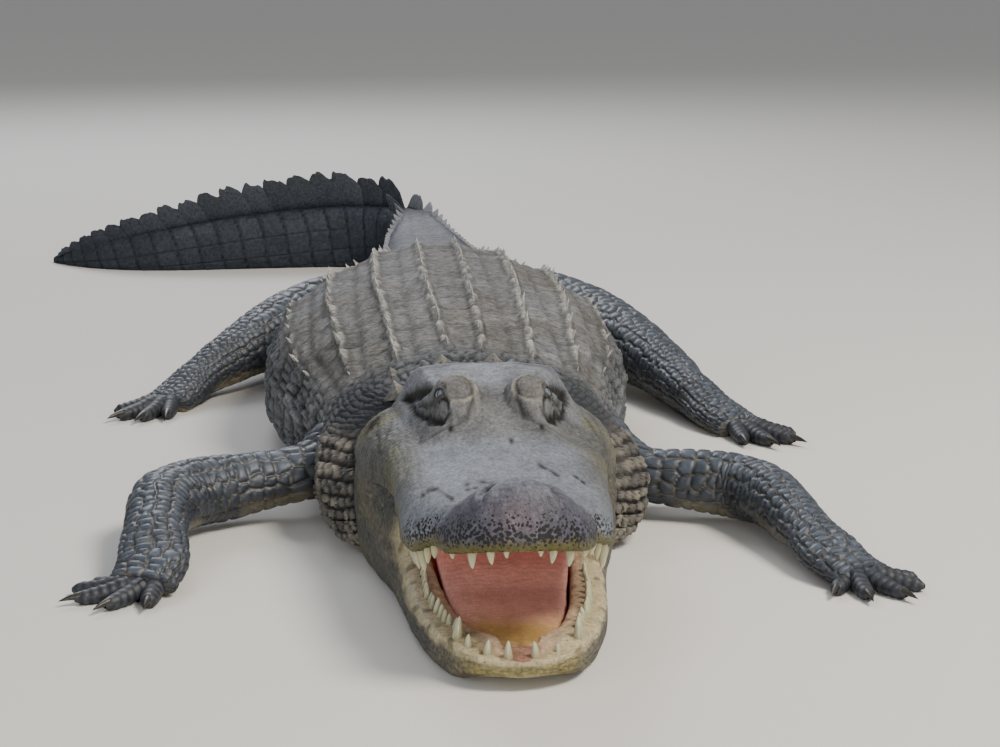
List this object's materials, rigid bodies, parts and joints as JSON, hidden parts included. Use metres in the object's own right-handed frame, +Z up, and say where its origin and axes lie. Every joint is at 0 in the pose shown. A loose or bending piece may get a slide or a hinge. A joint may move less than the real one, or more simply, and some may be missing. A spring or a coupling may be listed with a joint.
{
  "type": "american alligator, still life-size model",
  "caption": "Adult alligator lying on its belly, mouth open, legs spread and tail swung to one side; a still life-size model.",
  "frame": {"origin": "on the ground under the middle of the model's box", "axes": "+Z up, -Y the way the animal faces, +X its left side"},
  "size_m": [1.2038, 2.5784, 0.2334],
  "materials": {
    "head_hide": "fine-grained blue-grey hide, satin",
    "jaw_hide": "cream and olive mottled lip hide, satin",
    "body_hide": "dry keeled grey-tan hide, matt",
    "tail_hide": "near-black scaled hide, satin",
    "limb_hide": "slate scaled hide with pale seams, satin",
    "mouth_flesh": "moist pink mouth lining and tongue",
    "tooth": "off-white tooth enamel, gloss",
    "claw": "dark horn claw, satin",
    "scute": "horny keeled plate, worn pale at the keel",
    "eye": "wet dark eye under a clear cornea"
  },
  "bodies": {
    "root": {"head": "head_hide", "lower_jaw": "jaw_hide", "tongue": "mouth_flesh", "eye_left": "eye", "eye_right": "eye", "neck": "body_hide", "torso": "body_hide", "tail_1": "tail_hide", "tail_2": "tail_hide", "tail_3": "tail_hide", "tail_4": "tail_hide", "tail_5": "tail_hide", "tail_6": "tail_hide", "arm_upper_left": "limb_hide", "forearm_left": "limb_hide", "hand_left": "limb_hide", "arm_upper_right": "limb_hide", "forearm_right": "limb_hide", "hand_right": "limb_hide", "thigh_left": "limb_hide", "shank_left": "limb_hide", "foot_left": "limb_hide", "thigh_right": "limb_hide", "shank_right": "limb_hide", "foot_right": "limb_hide"}
  },
  "joints": []
}
